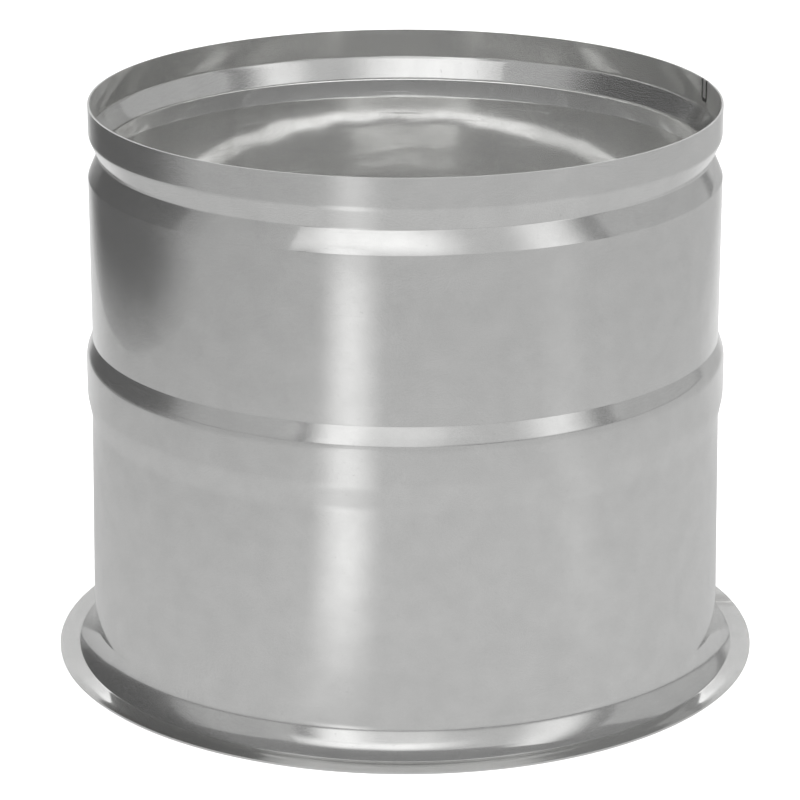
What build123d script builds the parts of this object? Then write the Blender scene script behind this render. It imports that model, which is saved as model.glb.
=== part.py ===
from build123d import *
from math import atan2, cos, hypot, radians, sin, tan
import os

# Stove pipe collar: one tube of thin stainless sheet, rolled, butt welded and then bent on rollers.
# It stands on the flange at its foot, with its axis on Z and the flange's underside at Z = 0.

# Sheet
SHEET = 0.5

# Radii: the rim is the pipe's nominal size, and each form steps out from the one it grows from
RIM_DIAMETER = 152.4
GROOVE_DEPTH = 2.25
WALL_STEP = 0.25
BEAD_STEP = 1.55
SKIRT_STEP = 0.55
SKIRT_FLARE = 0.8
COVE_REACH = 4.5
FLANGE_WIDTH = 4.3

# Heights, stacked from the flange up to the rim
COVE_HEIGHT = 7.45
SKIRT_HEIGHT = 52.8
FADE_HEIGHT = 5.5
CROWN_HEIGHT = 10.2
SHOULDER_HEIGHT = 4.1
WALL_HEIGHT = 40.0
GROOVE_LOWER_HEIGHT = 5.2
GROOVE_UPPER_HEIGHT = 5.1
RIM_BAND_HEIGHT = 7.35

# Angle through which the cove turns between its creases, in degrees
COVE_TURN = 42.0

# Radii of the outer skin
rim_r = RIM_DIAMETER / 2
groove_r = rim_r - GROOVE_DEPTH
wall_r = rim_r + WALL_STEP
bead_r = wall_r + BEAD_STEP
skirt_r = wall_r + SKIRT_STEP
foot_r = skirt_r + SKIRT_FLARE
ring_r = foot_r + COVE_REACH
flange_r = ring_r + FLANGE_WIDTH

# Heights of the outer skin
flange_z = SHEET
foot_z = flange_z + COVE_HEIGHT
skirt_z = foot_z + SKIRT_HEIGHT
crown_z = skirt_z + FADE_HEIGHT
shoulder_z = crown_z + CROWN_HEIGHT
wall_z = shoulder_z + SHOULDER_HEIGHT
lower_flank_z = wall_z + WALL_HEIGHT
groove_z = lower_flank_z + GROOVE_LOWER_HEIGHT
band_z = groove_z + GROOVE_UPPER_HEIGHT
rim_z = band_z + RIM_BAND_HEIGHT


def foot():
    """The flange's cut edge, the crease where it turns up into the cove, and the crease above the cove."""
    return [(flange_r, flange_z, 0), (ring_r, flange_z, -COVE_TURN), (foot_r, foot_z, 0)]


def bead():
    """The bead's lower end, which fades into the skirt, its crown, and the shoulder creased against the wall."""
    return [(skirt_r, skirt_z, 0), (bead_r, crown_z, 0), (bead_r, shoulder_z, 0), (wall_r, wall_z, 0)]


def groove():
    """The groove under the rim band: two straight flanks that meet in a crease."""
    return [(wall_r, lower_flank_z, 0), (groove_r, groove_z, 0), (rim_r, band_z, 0)]


# The outer skin's corners, from the flange's cut edge up to the rim's: radius, height, and the angle
# through which the sheet turns on its way to the next corner
corners = foot() + bead() + groove() + [(rim_r, rim_z, 0)]
last = len(corners) - 1


def course(start, end):
    """Length and direction of the straight line between two points."""
    run = end[0] - start[0]
    rise = end[1] - start[1]
    return hypot(run, rise), atan2(rise, run)


def headings(i):
    """Directions in which the sheet leaves corner i and reaches the next one."""
    direction = course(corners[i], corners[i + 1])[1]
    half_turn = radians(corners[i][2]) / 2
    return direction - half_turn, direction + half_turn


def corner(i, depth):
    """Corner i of the face at that depth behind the outer skin, on the line that halves the crease."""
    leaves = headings(min(i, last - 1))[0 if i < last else 1]
    arrives = headings(i - 1)[1] if i > 0 else leaves
    middle = (arrives + leaves) / 2
    reach = depth / cos((leaves - arrives) / 2)
    return corners[i][0] - reach * sin(middle), corners[i][1] + reach * cos(middle)


def stretch(i, depth):
    """The edge of that face from corner i to the next: a line, or an arc where the sheet turns."""
    start = corner(i, depth)
    end = corner(i + 1, depth)
    if corners[i][2] == 0:
        return Line(start, end)
    length, direction = course(start, end)
    bulge = length / 2 * tan(radians(corners[i][2]) / 4)
    middle = ((start[0] + end[0]) / 2 + bulge * sin(direction), (start[1] + end[1]) / 2 - bulge * cos(direction))
    return ThreePointArc(start, middle, end)


def skin(depth):
    """The sheet's face at that depth behind its outer one, as edges from the flange's rim upwards."""
    return [stretch(i, depth) for i in range(last)]


def collar():
    """The section between the sheet's two faces, turned about the axis."""
    flange_cut = Line(corner(0, 0), corner(0, SHEET))
    rim_cut = Line(corner(last, 0), corner(last, SHEET))
    section = make_face(skin(0) + skin(SHEET) + [flange_cut, rim_cut])
    return revolve(Plane.XZ * section, Axis.Z)


os.makedirs("parts", exist_ok=True)
export_step(collar(), "parts/collar.step")
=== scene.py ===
from math import atan2, ceil, cos, hypot, pi, radians, sin, tan

import bpy
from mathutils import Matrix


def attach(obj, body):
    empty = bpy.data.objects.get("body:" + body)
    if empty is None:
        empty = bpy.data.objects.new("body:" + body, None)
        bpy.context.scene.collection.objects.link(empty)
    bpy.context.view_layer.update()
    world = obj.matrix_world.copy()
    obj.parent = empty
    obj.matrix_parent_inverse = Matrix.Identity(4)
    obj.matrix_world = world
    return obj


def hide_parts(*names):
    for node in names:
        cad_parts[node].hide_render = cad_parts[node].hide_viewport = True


# Stove pipe collar: one tube of thin stainless sheet, rolled, butt welded and then bent on rollers.
# It stands on the flange at its foot, with its axis on Z. Sizes are millimetres, turned to metres by MM.
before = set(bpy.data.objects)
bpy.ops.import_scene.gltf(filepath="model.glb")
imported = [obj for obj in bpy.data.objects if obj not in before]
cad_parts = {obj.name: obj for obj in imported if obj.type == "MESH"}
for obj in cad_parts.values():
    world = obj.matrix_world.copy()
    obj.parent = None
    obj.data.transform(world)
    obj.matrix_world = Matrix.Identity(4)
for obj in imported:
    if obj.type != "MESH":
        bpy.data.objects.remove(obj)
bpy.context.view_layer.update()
MM = 0.001

# Sheet and radii of its outer skin
SHEET = 0.5
RIM_DIAMETER = 152.4
GROOVE_DEPTH = 2.25
WALL_STEP = 0.25
BEAD_STEP = 1.55
SKIRT_STEP = 0.55
SKIRT_FLARE = 0.8
COVE_REACH = 3.9
FLANGE_WIDTH = 4.9
FLANGE_LIP = 1.5

# Heights, stacked from the flange up to the rim
COVE_HEIGHT = 7.45
FLANGE_RISE = 0.35
SKIRT_HEIGHT = 52.8
FADE_HEIGHT = 5.5
CROWN_HEIGHT = 10.2
SHOULDER_HEIGHT = 4.1
WALL_HEIGHT = 40.0
GROOVE_LOWER_HEIGHT = 5.2
GROOVE_UPPER_HEIGHT = 5.1
RIM_BAND_HEIGHT = 7.35

# Angles through which the cove and the groove's lower flank turn between their creases, and the radii
# to which the rollers bend the sheet
COVE_TURN = 42.0
FLANK_TURN = 10.0
CREASE = 0.5
SOFT_CREASE = 3.0
EASY_BEND = 8.0

# How finely the sheet is divided: along a bend in degrees, along a straight in mm, at a straight's ends
# so that its shading stays straight, and round the axis
BEND_STEP = 6.0
RING_STEP = 5.0
END_STEP = 0.4
TURN_STEPS = 264

# Its cut edges, by how much they are broken and from which angle an edge counts as cut, the angle up to
# which the rest is shaded smooth, and the reach within which the two ends of a spin are joined
EDGE_BREAK = 0.08
EDGE_STEPS = 2
CUT_ANGLE = 60.0
SMOOTH_ANGLE = 40.0
MERGE_REACH = 0.005

rim_r = RIM_DIAMETER / 2
groove_r = rim_r - GROOVE_DEPTH
wall_r = rim_r + WALL_STEP
bead_r = wall_r + BEAD_STEP
skirt_r = wall_r + SKIRT_STEP
foot_r = skirt_r + SKIRT_FLARE
ring_r = foot_r + COVE_REACH
flange_r = ring_r + FLANGE_WIDTH

flange_z = SHEET
foot_z = flange_z + COVE_HEIGHT
skirt_z = foot_z + SKIRT_HEIGHT
crown_z = skirt_z + FADE_HEIGHT
shoulder_z = crown_z + CROWN_HEIGHT
wall_z = shoulder_z + SHOULDER_HEIGHT
lower_flank_z = wall_z + WALL_HEIGHT
groove_z = lower_flank_z + GROOVE_LOWER_HEIGHT
band_z = groove_z + GROOVE_UPPER_HEIGHT
rim_z = band_z + RIM_BAND_HEIGHT


def foot():
    """The flange's cut edge and lip, the crease where it turns up into the cove, and the one above it."""
    lip = [(flange_r, flange_z, 0, 0), (flange_r - FLANGE_LIP, flange_z, 0, EASY_BEND)]
    return lip + [(ring_r, flange_z + FLANGE_RISE, -COVE_TURN, CREASE), (foot_r, foot_z, 0, SOFT_CREASE)]


def bead():
    """The bead's lower end, fading into the skirt, its crown, and the shoulder creased against the wall."""
    lower = [(skirt_r, skirt_z, 0, EASY_BEND), (bead_r, crown_z, 0, EASY_BEND)]
    return lower + [(bead_r, shoulder_z, 0, EASY_BEND), (wall_r, wall_z, 0, CREASE)]


def groove():
    """The groove under the rim band: a slightly hollow flank and a straight one, which meet in a crease."""
    lower = [(wall_r, lower_flank_z, FLANK_TURN, CREASE)]
    return lower + [(groove_r, groove_z, 0, CREASE), (rim_r, band_z, 0, SOFT_CREASE)]


# The outer skin's corners, from the flange's cut edge up to the rim's: radius, height, the angle through
# which the sheet turns on its way to the next corner, and the radius of the bend at this one
corners = foot() + bead() + groove() + [(rim_r, rim_z, 0, 0)]
last = len(corners) - 1


def course(start, end):
    """Length and direction of the straight line between two points."""
    run = end[0] - start[0]
    rise = end[1] - start[1]
    return hypot(run, rise), atan2(rise, run)


def headings(i):
    """Directions in which the sheet leaves corner i and reaches the next one."""
    direction = course(corners[i], corners[i + 1])[1]
    half_turn = radians(corners[i][2]) / 2
    return direction - half_turn, direction + half_turn


def moved(point, distance, direction):
    """The point that lies so far from another in that direction."""
    return point[0] + distance * cos(direction), point[1] + distance * sin(direction)


def straight(start, end):
    """Points along a straight, without its start."""
    length, direction = course(start, end)
    inner = length - 2 * END_STEP
    steps = max(1, round(inner / RING_STEP))
    reaches = [END_STEP + inner * i / steps for i in range(steps + 1)] + [length]
    return [moved(start, reach, direction) for reach in reaches]


def arc(start, end, turn):
    """Points along an arc that turns so far between its ends, without its start."""
    length, direction = course(start, end)
    steps = max(2, ceil(abs(turn) / radians(BEND_STEP)))
    turned = [turn * i / steps for i in range(1, steps + 1)]
    return [moved(start, length * sin(t / 2) / sin(turn / 2), direction + (t - turn) / 2) for t in turned]


def section():
    """The outer skin from the flange's cut edge up to the rim, as points of radius and height."""
    points = [corners[0][:2]]
    for i in range(1, last):
        arrives = headings(i - 1)[1]
        leaves = headings(i)[0]
        cut = corners[i][3] * tan(abs(leaves - arrives) / 2)
        before = moved(corners[i], -cut, arrives)
        turn = radians(corners[i - 1][2])
        points += arc(points[-1], before, turn) if turn else straight(points[-1], before)
        points += arc(before, moved(corners[i], cut, leaves), leaves - arrives)
    return points + straight(points[-1], corners[last][:2])


def spun_sheet(name, points):
    """Draws the section as a chain of edges, spins it about the axis and gives it the sheet's thickness."""
    bpy.ops.object.select_all(action="DESELECT")
    bpy.ops.mesh.primitive_plane_add(size=SHEET * MM, location=(points[0][0] * MM, 0, points[0][1] * MM))
    piece = bpy.context.object
    piece.name = name
    bpy.ops.object.transform_apply()
    bpy.ops.object.mode_set(mode="EDIT")
    bpy.ops.mesh.merge(type="CENTER")
    for here, there in zip(points, points[1:]):
        step = ((there[0] - here[0]) * MM, 0, (there[1] - here[1]) * MM)
        bpy.ops.mesh.extrude_region_move(TRANSFORM_OT_translate={"value": step})
    bpy.ops.mesh.select_all(action="SELECT")
    bpy.ops.mesh.spin(steps=TURN_STEPS, angle=radians(360), center=(0, 0, 0), axis=(0, 0, 1))
    bpy.ops.mesh.select_all(action="SELECT")
    bpy.ops.mesh.remove_doubles(threshold=MERGE_REACH * MM)
    bpy.ops.mesh.normals_make_consistent(inside=False)
    bpy.ops.object.mode_set(mode="OBJECT")
    wall = piece.modifiers.new("wall", "SOLIDIFY")
    wall.thickness = SHEET * MM
    wall.offset = -1
    wall.use_even_offset = True
    edges = piece.modifiers.new("cut_edges", "BEVEL")
    edges.width = EDGE_BREAK * MM
    edges.segments = EDGE_STEPS
    edges.limit_method = "ANGLE"
    edges.angle_limit = radians(CUT_ANGLE)
    for modifier in ("wall", "cut_edges"):
        bpy.ops.object.modifier_apply(modifier=modifier)
    bpy.ops.object.shade_smooth_by_angle(angle=radians(SMOOTH_ANGLE))
    return piece


def linear(code):
    """An sRGB hex colour as the linear RGBA that Blender's sockets take."""
    shares = [int(code[i:i + 2], 16) / 255 for i in (1, 3, 5)]
    return tuple(s / 12.92 if s <= 0.04045 else ((s + 0.055) / 1.055) ** 2.4 for s in shares) + (1.0,)


def add(tree, kind, inputs=None, **settings):
    """Adds one node with its settings; inputs maps a socket to a constant or to the output feeding it."""
    node = tree.nodes.new("ShaderNode" + kind)
    for name, value in settings.items():
        setattr(node, name, value)
    for socket, value in (inputs or {}).items():
        if isinstance(value, bpy.types.NodeSocket):
            tree.links.new(value, node.inputs[socket])
        else:
            node.inputs[socket].default_value = value
    return node


def new_material(name):
    """An empty node material and its tree."""
    material = bpy.data.materials.new(name)
    material.use_nodes = True
    material.node_tree.nodes.clear()
    return material, material.node_tree


# Stainless steel, cold rolled to a satin mill finish. Sizes lie along the sheet, and bounds say between
# which values of its noise a mark grows from nothing to full.
STEEL_PALE = "#e6e6e5"
STEEL_DULL = "#d3d3d2"
STEEL_PITTED = "#c8c8c7"
STEEL_SCORCHED = "#77736e"
STEEL_BURNT = "#2e2d2c"
STEEL_SHINE = (0.04, 0.09)
STEEL_STRETCH = 0.5
NOISE_FALL = 0.6
CLOUD_SIZE = 7.0
WAVE_SIZE = 16.0
WAVE_HEIGHT = 0.06
PIT_SIZE = 0.9
PIT_BOUNDS = (0.64, 0.8)
PIT_DEPTH = 0.002
PITTED_ROUGHNESS = 0.06
GRAIN_SIZE = 0.12
GRAIN_BOUNDS = (0.53, 0.64)
GRAIN_ROUGHNESS = 0.45
SCRATCH_SIZE = (34.0, 0.5)
SCRATCH_LEAN = 64.0
SCRATCH_BOUNDS = (0.68, 0.76)
SCRATCH_DEPTH = 0.003

# The weld along the tube: where it lies, its ground strip, the fusion lines beside it, the heat tint
# round it, and the end at the rim that is burnt black
WELD_AZIMUTH = 14.2
WELD_HALF = 1.5
WELD_HEIGHT = 0.06
WELD_LINE = 0.3
WELD_FAINT = 0.3
WELD_TINT = 6.0
TINT_SHARE = 0.25
BURN_LINE = 0.5
BURN_HEIGHT = 5.0


def stainless_mill_finish():
    """Cold rolled stainless with a satin mill finish: a neutral grey mirror, hazed by its grain and blurred
    round the axis, clouded by handling, with fine pits, faint scratches and one ground weld."""
    material, tree = new_material("stainless_mill_finish")

    # The flattened sheet: along it from weld to weld, up it from the flange's edge to the rim
    place = add(tree, "TexCoord").outputs["Object"]
    turned = add(tree, "Mapping", {"Vector": place, "Rotation": (0, 0, pi - radians(WELD_AZIMUTH))})
    axes = add(tree, "SeparateXYZ", {0: turned.outputs[0]})
    flat = add(tree, "CombineXYZ", {"X": axes.outputs["X"], "Y": axes.outputs["Y"]})
    radius = add(tree, "VectorMath", {0: flat.outputs[0]}, operation="LENGTH").outputs["Value"]
    angle = add(tree, "Math", {0: axes.outputs["Y"], 1: axes.outputs["X"]}, operation="ARCTAN2").outputs[0]
    along = add(tree, "Math", {0: angle, 1: wall_r * MM}, operation="MULTIPLY").outputs[0]
    up = add(tree, "Math", {0: axes.outputs["Z"], 1: radius}, operation="SUBTRACT").outputs[0]
    sheet = add(tree, "CombineXYZ", {"X": along, "Y": up}).outputs[0]

    # Clouds, the sheet's slight waves, and pits and grain drawn coarser than real ones so that a pixel
    # holds them
    patterns = ((CLOUD_SIZE, 4.0), (WAVE_SIZE, 1.0), (PIT_SIZE, 2.0), (GRAIN_SIZE, 0.0))
    clouds, waves, pits, grain = [
        add(tree, "TexNoise", {"Vector": sheet, "Scale": 1 / (size * MM), "Detail": detail,
                               "Roughness": NOISE_FALL}).outputs["Fac"]
        for size, detail in patterns]
    leaning = add(tree, "Mapping", {"Vector": sheet, "Rotation": (0, 0, radians(SCRATCH_LEAN)),
                                    "Scale": [1 / (size * MM) for size in SCRATCH_SIZE] + [1]}).outputs[0]
    rubbed = add(tree, "TexNoise", {"Vector": leaning, "Scale": 1.0, "Detail": 1.0}).outputs["Fac"]
    marks = ((pits, PIT_BOUNDS), (grain, GRAIN_BOUNDS), (rubbed, SCRATCH_BOUNDS))
    pitted, hazed, scratched = [
        add(tree, "MapRange", {"Value": noise, "From Min": low, "From Max": high}).outputs["Result"]
        for noise, (low, high) in marks]

    # The weld: a ground strip between two dark fusion lines, with a heat tint that fades on both sides
    bare = add(tree, "Math", {0: along}, operation="ABSOLUTE").outputs[0]
    aside = add(tree, "Math", {0: pi * wall_r * MM, 1: bare}, operation="SUBTRACT").outputs[0]
    strip = add(tree, "MapRange", {"Value": aside, "From Min": (WELD_HALF + WELD_LINE) * MM,
                                   "From Max": (WELD_HALF - WELD_LINE) * MM},
                interpolation_type="SMOOTHSTEP").outputs["Result"]
    beside = add(tree, "Math", {0: aside, 1: WELD_HALF * MM, 2: WELD_LINE * MM},
                 operation="COMPARE").outputs[0]
    tinted = add(tree, "MapRange", {"Value": aside, "From Min": WELD_TINT * MM,
                                    "From Max": WELD_HALF * MM, "To Max": TINT_SHARE},
                 interpolation_type="SMOOTHSTEP").outputs["Result"]
    faint = add(tree, "Math", {0: beside, 1: WELD_FAINT}, operation="MULTIPLY").outputs[0]
    scorched = add(tree, "Math", {0: tinted, 1: faint}, operation="MAXIMUM").outputs[0]

    # Near the rim the lines are burnt black, wider, and joined at their foot
    above = add(tree, "Math", {0: axes.outputs["Z"], 1: (rim_z - BURN_HEIGHT) * MM},
                operation="SUBTRACT").outputs[0]
    upper = add(tree, "Math", {0: above, 1: 0.0}, operation="GREATER_THAN").outputs[0]
    near_foot = add(tree, "Math", {0: above, 1: 0.0, 2: BURN_LINE * MM}, operation="COMPARE").outputs[0]
    near_line = add(tree, "Math", {0: aside, 1: WELD_HALF * MM, 2: BURN_LINE * MM},
                    operation="COMPARE").outputs[0]
    joined = add(tree, "Math", {0: near_foot, 1: strip}, operation="MULTIPLY").outputs[0]
    burnt = add(tree, "Math", {0: upper, 1: near_line, 2: joined}, operation="MULTIPLY_ADD",
                use_clamp=True).outputs[0]

    colour = linear(STEEL_PALE)
    for share, tone in ((clouds, STEEL_DULL), (pitted, STEEL_PITTED), (scorched, STEEL_SCORCHED),
                        (burnt, STEEL_BURNT)):
        colour = add(tree, "Mix", {"Factor": share, 6: colour, 7: linear(tone)},
                     data_type="RGBA").outputs[2]
    roughness = add(tree, "MapRange", {"Value": clouds, "To Min": STEEL_SHINE[0],
                                       "To Max": STEEL_SHINE[1]}).outputs["Result"]
    for share, more in ((hazed, GRAIN_ROUGHNESS), (pitted, PITTED_ROUGHNESS),
                        (scorched, PITTED_ROUGHNESS)):
        roughness = add(tree, "Math", {0: share, 1: more, 2: roughness},
                        operation="MULTIPLY_ADD").outputs[0]
    relief = 0.0
    for share, height in ((waves, WAVE_HEIGHT), (pitted, -PIT_DEPTH), (scratched, -SCRATCH_DEPTH),
                          (strip, WELD_HEIGHT)):
        relief = add(tree, "Math", {0: share, 1: height, 2: relief}, operation="MULTIPLY_ADD").outputs[0]
    normal = add(tree, "Bump", {"Height": relief, "Distance": MM}).outputs["Normal"]
    round_axis = add(tree, "Tangent", direction_type="RADIAL", axis="Z").outputs["Tangent"]
    steel = add(tree, "BsdfPrincipled", {"Base Color": colour, "Metallic": 1.0, "Roughness": roughness,
                                         "Anisotropic": STEEL_STRETCH, "Normal": normal,
                                         "Tangent": round_axis})
    add(tree, "OutputMaterial", {"Surface": steel.outputs["BSDF"]})
    return material


# Studio. Directions are azimuths in degrees, 0 in front of the object and positive to its right.
# The floor as the metal sees it, with light and shade painted into its glow: its size, its front from left
# to right, painted darker to the left, how that painted light falls with distance, a painted pool of light
# behind the object, two painted glints of the front lamps (azimuth, half width, gain), and the disc of
# floor inside the tube, with a painted pool of light towards its front and painted shadow towards the back.
FLOOR_SIZE = 6000.0
FLOOR_LEVELS = (0.55, 0.65)
FLOOR_SPAN = (-500.0, 170.0)
FLOOR_FALL = (1.0, 0.87)
FLOOR_FALL_SPAN = (150.0, 450.0)
BACK_POOL_LEVEL = 0.91
BACK_POOL_HALF = (310.0, 150.0)
BACK_POOL_START = (90.0, 250.0)
GLEAMS = ((-17.5, 12.0, 0.62), (52.0, 12.0, 0.075))
GLEAM_START = (70.0, 230.0)
GLEAM_END = (430.0, 520.0)
GLEAM_REST = 0.5
INSIDE_LEVELS = (1.2, 2.8)
INSIDE_SPAN = (-58.0, -26.0)
INSIDE_SHADOW_LEVEL = 0.24
INSIDE_SHADE = (-26.0, -3.0)

# The floor as the eye sees it, the room round it, and the lamp that lays the object's shadow
FLOOR_TONE = "#e6e6e6"
FLOOR_GLOW = 0.45
ROOM_LEVEL = 0.315
LAMP_HEIGHT = 1600.0
LAMP_SIZE = 1200.0
LAMP_POWER = 22.0


def emitter(name, level, soft):
    """A card's light, which fades out over the soft share of each side."""
    material, tree = new_material(name)
    place = add(tree, "TexCoord").outputs["Object"]
    spread = add(tree, "VectorMath", {0: place}, operation="ABSOLUTE").outputs[0]
    sides = add(tree, "SeparateXYZ", {0: spread}).outputs
    across, along = [
        add(tree, "MapRange", {"Value": sides[axis], "From Min": 0.5, "From Max": 0.5 - share},
            interpolation_type="SMOOTHSTEP").outputs["Result"]
        for axis, share in zip("XY", soft)]
    cover = add(tree, "Math", {0: across, 1: along}, operation="MULTIPLY").outputs[0]
    light = add(tree, "Emission", {"Strength": level}).outputs[0]
    clear = add(tree, "BsdfTransparent").outputs[0]
    both = add(tree, "MixShader", {0: cover, 1: clear, 2: light}).outputs[0]
    add(tree, "OutputMaterial", {"Surface": both})
    return material


def card(name, azimuth, distance, width, low, high, level, soft=(0.1, 0.1)):
    """An upright card that faces the axis, or a level one where low and high agree; only metal sees it."""
    turn = radians(azimuth)
    upright = high > low
    place = (distance * sin(turn) * MM, -distance * cos(turn) * MM, (low + high) / 2 * MM)
    tilt = radians(90) if upright else 0
    bpy.ops.mesh.primitive_plane_add(size=1, location=place, rotation=(tilt, 0, turn))
    sheet = bpy.context.object
    sheet.name = name
    sheet.scale = (width * MM, (high - low if upright else width) * MM, 1)
    sheet.visible_camera = False
    sheet.data.materials.append(emitter(name, level, soft))


def floor():
    """A white floor: white with the object's shadow to the eye, and to the metal paper whose uneven light
    and shade are painted into its glow.
    """
    bpy.ops.mesh.primitive_plane_add(size=FLOOR_SIZE * MM)
    sheet = bpy.context.object
    sheet.name = "floor"
    material, tree = new_material("white_floor")
    place = add(tree, "TexCoord").outputs["Object"]
    axes = add(tree, "SeparateXYZ", {0: place})
    forward = add(tree, "Math", {0: axes.outputs["Y"], 1: -1.0}, operation="MULTIPLY").outputs[0]
    aside = add(tree, "Math", {0: axes.outputs["X"]}, operation="ABSOLUTE").outputs[0]
    away = add(tree, "VectorMath", {0: place}, operation="LENGTH").outputs["Value"]
    azimuth = add(tree, "Math", {0: axes.outputs["X"], 1: forward}, operation="ARCTAN2").outputs[0]

    # Smooth steps of one coordinate: from where to where, and the levels at both ends
    steps = {
        "front": (axes.outputs["X"], FLOOR_SPAN, FLOOR_LEVELS),
        "behind": (axes.outputs["Y"], BACK_POOL_START, (0, 1)),
        "narrow": (aside, BACK_POOL_HALF, (0, 1)),
        "outside": (away, (wall_r, flange_r), (0, 1)),
        "inside": (axes.outputs["Y"], INSIDE_SPAN, INSIDE_LEVELS),
        "shaded": (axes.outputs["Y"], INSIDE_SHADE, (0, 1)),
        "falling": (away, FLOOR_FALL_SPAN, FLOOR_FALL),
        "gleaming": (away, GLEAM_START, (0, 1)),
        "fading": (away, GLEAM_END, (1, GLEAM_REST)),
    }
    step = {
        name: add(tree, "MapRange", {"Value": value, "From Min": span[0] * MM, "From Max": span[1] * MM,
                                     "To Min": levels[0], "To Max": levels[1]},
                  interpolation_type="SMOOTHSTEP").outputs["Result"]
        for name, (value, span, levels) in steps.items()}

    # Outside the tube the front, the painted pool of light behind and the painted lamp glints; inside it
    # the painted light and the painted shadow
    back = add(tree, "Math", {0: step["behind"], 1: step["narrow"]}, operation="MULTIPLY").outputs[0]
    front = add(tree, "Math", {0: step["front"], 1: step["falling"]}, operation="MULTIPLY").outputs[0]
    level = add(tree, "Mix", {"Factor": back, "A": front, "B": BACK_POOL_LEVEL}).outputs["Result"]
    reach = add(tree, "Math", {0: step["gleaming"], 1: step["fading"]}, operation="MULTIPLY").outputs[0]
    for middle, half, gain in GLEAMS:
        off = add(tree, "Math", {0: azimuth, 1: radians(middle)}, operation="SUBTRACT").outputs[0]
        near = add(tree, "Math", {0: off}, operation="ABSOLUTE").outputs[0]
        gleam = add(tree, "MapRange", {"Value": near, "From Min": radians(half), "From Max": 0.0,
                                       "To Max": gain}, interpolation_type="SMOOTHSTEP").outputs["Result"]
        level = add(tree, "Math", {0: gleam, 1: reach, 2: level}, operation="MULTIPLY_ADD").outputs[0]
    inside = add(tree, "Mix", {"Factor": step["shaded"], "A": step["inside"],
                               "B": INSIDE_SHADOW_LEVEL}).outputs["Result"]
    level = add(tree, "Mix", {"Factor": step["outside"], "A": inside, "B": level}).outputs["Result"]
    # The floor glows with this painted light and shade for the metal to reflect
    seen_in_metal = add(tree, "Emission", {"Strength": level}).outputs[0]

    # To the eye it is white paper that glows a little
    paper = add(tree, "BsdfDiffuse", {"Color": linear(FLOOR_TONE)}).outputs[0]
    glow = add(tree, "Emission", {"Strength": FLOOR_GLOW}).outputs[0]
    seen = add(tree, "AddShader", {0: paper, 1: glow}).outputs[0]
    to_eye = add(tree, "LightPath").outputs["Is Camera Ray"]
    either = add(tree, "MixShader", {0: to_eye, 1: seen_in_metal, 2: seen}).outputs[0]
    add(tree, "OutputMaterial", {"Surface": either})
    sheet.data.materials.append(material)


def room():
    """White to the eye, a dim room to the metal."""
    world = bpy.data.worlds.new("room")
    bpy.context.scene.world = world
    world.use_nodes = True
    tree = world.node_tree
    tree.nodes.clear()
    to_eye = add(tree, "LightPath").outputs["Is Camera Ray"]
    level = add(tree, "MapRange", {"Value": to_eye, "To Min": ROOM_LEVEL, "To Max": 1.0}).outputs["Result"]
    light = add(tree, "Background", {"Strength": level}).outputs[0]
    add(tree, "OutputWorld", {"Surface": light})


def top_lamp():
    """A soft lamp overhead, which lights the floor alone and lays the object's shadow on it."""
    bpy.ops.object.light_add(type="AREA", location=(0, 0, LAMP_HEIGHT * MM))
    lamp = bpy.context.object
    lamp.name = "top_lamp"
    lamp.data.shape = "DISK"
    lamp.data.size = LAMP_SIZE * MM
    lamp.data.energy = LAMP_POWER
    lamp.visible_glossy = False


# Camera, fitted to the outlines of the rim and the flange, with its focal length in pixels
CAMERA_PLACE = (-1.299, -827.06, 335.65)
CAMERA_PITCH = 18.328
CAMERA_FOCUS = 3528.0
IMAGE_SIDE = 800.0
SENSOR = 36.0


def camera():
    """The photograph's view, looking along +Y and down."""
    place = [c * MM for c in CAMERA_PLACE]
    bpy.ops.object.camera_add(location=place, rotation=(radians(90 - CAMERA_PITCH), 0, 0))
    view = bpy.context.object
    view.data.sensor_width = SENSOR
    view.data.lens = CAMERA_FOCUS * SENSOR / IMAGE_SIDE
    bpy.context.scene.camera = view


collar = spun_sheet("collar_sheet", section())
collar.data.materials.append(stainless_mill_finish())
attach(collar, "root")
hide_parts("collar")

floor()
room()
card("front_wall_card", 15, 2200, 4600, 0, 2500, 0.6, (0.15, 0.12))
card("front_low_card", -4, 1700, 1700, 0, 900, 0.87, (0.4, 0.15))
card("front_left_softbox", -12, 1600, 2700, 640, 1880, 1.41, (0.4, 0.42))
card("front_left_strip", -22, 1560, 800, 40, 1000, 1.33, (0.45, 0.1))
card("front_right_softbox", 54, 1600, 1050, 40, 1950, 1.12, (0.45, 0.08))
card("right_card", 106, 1500, 1900, 0, 1200, 0.5)
card("left_card", -63, 1720, 1850, 0, 1500, 0.48)
card("left_back_flag", -112, 320, 600, -16, 700, 0.11, (0.35, 0.065))
card("back_card", 180, 1500, 2500, 0, 900, 0.64)
card("back_top_softbox", 180, 1490, 1400, 720, 2400, 1.83, (0.2, 0.1))
card("ceiling_softbox", 180, 450, 1900, 1700, 1700, 0.95, (0.2, 0.12))
top_lamp()
camera()
bpy.context.scene.view_settings.view_transform = "Standard"

# Reflections inside the tube keep their edges through several bounces
bpy.context.scene.cycles.blur_glossy = 0.0
bpy.context.scene.cycles.glossy_bounces = 8
